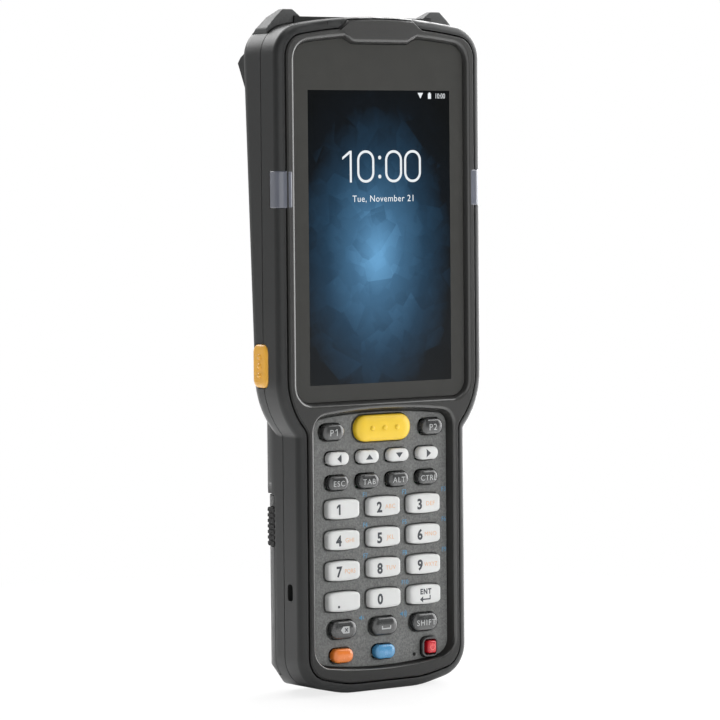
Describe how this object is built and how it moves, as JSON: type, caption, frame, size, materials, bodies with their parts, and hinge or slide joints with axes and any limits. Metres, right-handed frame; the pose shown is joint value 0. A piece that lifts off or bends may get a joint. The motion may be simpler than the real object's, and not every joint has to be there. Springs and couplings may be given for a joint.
{
  "type": "handheld barcode terminal",
  "caption": "Rugged handheld barcode terminal: touch display above a numeric keypad, side scan buttons, slide-out battery in the grip.",
  "frame": {"origin": "centre of the terminal's box at its docking end, which it stands on", "axes": "+Z along the terminal from the docking end to the scanner end, -Y out of the screen, +X to the right of a person who looks at the screen"},
  "size_m": [0.0768, 0.0344, 0.2018],
  "materials": {
    "housing": "fine textured moulding, dark grey",
    "bezel": "fine spark texture, dark grey",
    "glass": "clear touch glass with a printed dark border",
    "display": "lit picture, dark blue",
    "panel": "coarse spark texture, mid grey",
    "key_white": "satin, white with dark legends",
    "key_dark": "glossy coated rubber, dark grey",
    "key_yellow": "glossy coated rubber, yellow",
    "key_orange": "gloss, orange",
    "key_blue": "gloss, blue",
    "key_red": "gloss, red",
    "black_trim": "satin black",
    "bumper": "soft moulded bumper, dark grey",
    "lamp": "translucent light pipe",
    "button_yellow": "coated rubber, orange yellow",
    "scan_glass": "dark red exit window",
    "pack": "fine textured moulding, near black",
    "board": "solder mask, green",
    "metal": "cast and machined frame",
    "dome": "stamped spring domes",
    "contact": "plated contacts",
    "screw": "blackened steel",
    "silicone": "silicone rubber",
    "foam": "closed foam"
  },
  "bodies": {
    "terminal_body": {"front_housing": "housing", "front_bezel": "bezel", "touch_glass": "glass", "display_gasket": "foam", "lcd_module": "display", "keypad_plate": "panel", "power_key_bezel": "black_trim", "keypad_mat": "silicone", "dome_switches": "dome", "keypad_board": "board", "chassis": "metal", "main_board": "board", "rear_housing": "housing", "perimeter_seal": "silicone", "scan_window": "scan_glass", "scan_engine": "black_trim", "battery_contacts": "contact", "side_switches": "metal", "loudspeaker": "metal", "vibration_motor": "metal", "dock_connector": "contact", "housing_screws": "screw", "corner_bumper_left": "bumper", "led_lens_left": "lamp", "corner_bumper_right": "bumper", "led_lens_right": "lamp"},
    "battery": {"battery_pack": "pack"},
    "latch_left": {"battery_latch_left": "black_trim"},
    "latch_right": {"battery_latch_right": "black_trim"},
    "scan_button_left": {"side_button_left": "button_yellow"},
    "scan_button_right": {"side_button_right": "button_yellow"},
    "key_p1": {"key_p1": "key_dark"},
    "key_scan": {"key_scan": "key_yellow"},
    "key_p2": {"key_p2": "key_dark"},
    "key_left": {"key_left": "key_white"},
    "key_up": {"key_up": "key_white"},
    "key_down": {"key_down": "key_white"},
    "key_right": {"key_right": "key_white"},
    "key_esc": {"key_esc": "key_dark"},
    "key_tab": {"key_tab": "key_dark"},
    "key_alt": {"key_alt": "key_dark"},
    "key_ctrl": {"key_ctrl": "key_dark"},
    "key_1": {"key_1": "key_white"},
    "key_2": {"key_2": "key_white"},
    "key_3": {"key_3": "key_white"},
    "key_4": {"key_4": "key_white"},
    "key_5": {"key_5": "key_white"},
    "key_6": {"key_6": "key_white"},
    "key_7": {"key_7": "key_white"},
    "key_8": {"key_8": "key_white"},
    "key_9": {"key_9": "key_white"},
    "key_dot": {"key_dot": "key_white"},
    "key_0": {"key_0": "key_white"},
    "key_enter": {"key_enter": "key_white"},
    "key_backspace": {"key_backspace": "key_dark"},
    "key_space": {"key_space": "key_dark"},
    "key_shift": {"key_shift": "key_dark"},
    "key_orange": {"key_orange": "key_orange"},
    "key_blue": {"key_blue": "key_blue"},
    "key_power": {"key_power": "key_red"}
  },
  "joints": [
    {"name": "battery_release", "type": "slide", "parent": "terminal_body", "child": "battery", "axis": [0, 1, 0], "range_m": [0, 0.035]},
    {"name": "latch_left_press", "type": "slide", "parent": "battery", "child": "latch_left", "axis": [1, 0, 0], "range_m": [0, 0.0015], "stiffness_N_per_m": 800, "springref_m": -0.00075},
    {"name": "latch_right_press", "type": "slide", "parent": "battery", "child": "latch_right", "axis": [-1, 0, 0], "range_m": [0, 0.0015], "stiffness_N_per_m": 800, "springref_m": -0.00075},
    {"name": "scan_button_left_press", "type": "slide", "parent": "terminal_body", "child": "scan_button_left", "axis": [1, 0, 0], "range_m": [0, 0.0007], "stiffness_N_per_m": 1142.9, "springref_m": -0.00035},
    {"name": "scan_button_right_press", "type": "slide", "parent": "terminal_body", "child": "scan_button_right", "axis": [-1, 0, 0], "range_m": [0, 0.0007], "stiffness_N_per_m": 1142.9, "springref_m": -0.00035},
    {"name": "key_p1_press", "type": "slide", "parent": "terminal_body", "child": "key_p1", "axis": [0, 1, 0], "range_m": [0, 0.0008], "stiffness_N_per_m": 625, "springref_m": -0.0004},
    {"name": "key_scan_press", "type": "slide", "parent": "terminal_body", "child": "key_scan", "axis": [0, 1, 0], "range_m": [0, 0.0008], "stiffness_N_per_m": 625, "springref_m": -0.0004},
    {"name": "key_p2_press", "type": "slide", "parent": "terminal_body", "child": "key_p2", "axis": [0, 1, 0], "range_m": [0, 0.0008], "stiffness_N_per_m": 625, "springref_m": -0.0004},
    {"name": "key_left_press", "type": "slide", "parent": "terminal_body", "child": "key_left", "axis": [0, 1, 0], "range_m": [0, 0.0008], "stiffness_N_per_m": 625, "springref_m": -0.0004},
    {"name": "key_up_press", "type": "slide", "parent": "terminal_body", "child": "key_up", "axis": [0, 1, 0], "range_m": [0, 0.0008], "stiffness_N_per_m": 625, "springref_m": -0.0004},
    {"name": "key_down_press", "type": "slide", "parent": "terminal_body", "child": "key_down", "axis": [0, 1, 0], "range_m": [0, 0.0008], "stiffness_N_per_m": 625, "springref_m": -0.0004},
    {"name": "key_right_press", "type": "slide", "parent": "terminal_body", "child": "key_right", "axis": [0, 1, 0], "range_m": [0, 0.0008], "stiffness_N_per_m": 625, "springref_m": -0.0004},
    {"name": "key_esc_press", "type": "slide", "parent": "terminal_body", "child": "key_esc", "axis": [0, 1, 0], "range_m": [0, 0.0008], "stiffness_N_per_m": 625, "springref_m": -0.0004},
    {"name": "key_tab_press", "type": "slide", "parent": "terminal_body", "child": "key_tab", "axis": [0, 1, 0], "range_m": [0, 0.0008], "stiffness_N_per_m": 625, "springref_m": -0.0004},
    {"name": "key_alt_press", "type": "slide", "parent": "terminal_body", "child": "key_alt", "axis": [0, 1, 0], "range_m": [0, 0.0008], "stiffness_N_per_m": 625, "springref_m": -0.0004},
    {"name": "key_ctrl_press", "type": "slide", "parent": "terminal_body", "child": "key_ctrl", "axis": [0, 1, 0], "range_m": [0, 0.0008], "stiffness_N_per_m": 625, "springref_m": -0.0004},
    {"name": "key_1_press", "type": "slide", "parent": "terminal_body", "child": "key_1", "axis": [0, 1, 0], "range_m": [0, 0.0008], "stiffness_N_per_m": 625, "springref_m": -0.0004},
    {"name": "key_2_press", "type": "slide", "parent": "terminal_body", "child": "key_2", "axis": [0, 1, 0], "range_m": [0, 0.0008], "stiffness_N_per_m": 625, "springref_m": -0.0004},
    {"name": "key_3_press", "type": "slide", "parent": "terminal_body", "child": "key_3", "axis": [0, 1, 0], "range_m": [0, 0.0008], "stiffness_N_per_m": 625, "springref_m": -0.0004},
    {"name": "key_4_press", "type": "slide", "parent": "terminal_body", "child": "key_4", "axis": [0, 1, 0], "range_m": [0, 0.0008], "stiffness_N_per_m": 625, "springref_m": -0.0004},
    {"name": "key_5_press", "type": "slide", "parent": "terminal_body", "child": "key_5", "axis": [0, 1, 0], "range_m": [0, 0.0008], "stiffness_N_per_m": 625, "springref_m": -0.0004},
    {"name": "key_6_press", "type": "slide", "parent": "terminal_body", "child": "key_6", "axis": [0, 1, 0], "range_m": [0, 0.0008], "stiffness_N_per_m": 625, "springref_m": -0.0004},
    {"name": "key_7_press", "type": "slide", "parent": "terminal_body", "child": "key_7", "axis": [0, 1, 0], "range_m": [0, 0.0008], "stiffness_N_per_m": 625, "springref_m": -0.0004},
    {"name": "key_8_press", "type": "slide", "parent": "terminal_body", "child": "key_8", "axis": [0, 1, 0], "range_m": [0, 0.0008], "stiffness_N_per_m": 625, "springref_m": -0.0004},
    {"name": "key_9_press", "type": "slide", "parent": "terminal_body", "child": "key_9", "axis": [0, 1, 0], "range_m": [0, 0.0008], "stiffness_N_per_m": 625, "springref_m": -0.0004},
    {"name": "key_dot_press", "type": "slide", "parent": "terminal_body", "child": "key_dot", "axis": [0, 1, 0], "range_m": [0, 0.0008], "stiffness_N_per_m": 625, "springref_m": -0.0004},
    {"name": "key_0_press", "type": "slide", "parent": "terminal_body", "child": "key_0", "axis": [0, 1, 0], "range_m": [0, 0.0008], "stiffness_N_per_m": 625, "springref_m": -0.0004},
    {"name": "key_enter_press", "type": "slide", "parent": "terminal_body", "child": "key_enter", "axis": [0, 1, 0], "range_m": [0, 0.0008], "stiffness_N_per_m": 625, "springref_m": -0.0004},
    {"name": "key_backspace_press", "type": "slide", "parent": "terminal_body", "child": "key_backspace", "axis": [0, 1, 0], "range_m": [0, 0.0008], "stiffness_N_per_m": 625, "springref_m": -0.0004},
    {"name": "key_space_press", "type": "slide", "parent": "terminal_body", "child": "key_space", "axis": [0, 1, 0], "range_m": [0, 0.0008], "stiffness_N_per_m": 625, "springref_m": -0.0004},
    {"name": "key_shift_press", "type": "slide", "parent": "terminal_body", "child": "key_shift", "axis": [0, 1, 0], "range_m": [0, 0.0008], "stiffness_N_per_m": 625, "springref_m": -0.0004},
    {"name": "key_orange_press", "type": "slide", "parent": "terminal_body", "child": "key_orange", "axis": [0, 1, 0], "range_m": [0, 0.0008], "stiffness_N_per_m": 625, "springref_m": -0.0004},
    {"name": "key_blue_press", "type": "slide", "parent": "terminal_body", "child": "key_blue", "axis": [0, 1, 0], "range_m": [0, 0.0008], "stiffness_N_per_m": 625, "springref_m": -0.0004},
    {"name": "key_power_press", "type": "slide", "parent": "terminal_body", "child": "key_power", "axis": [0, 1, 0], "range_m": [0, 0.0008], "stiffness_N_per_m": 625, "springref_m": -0.0004}
  ]
}
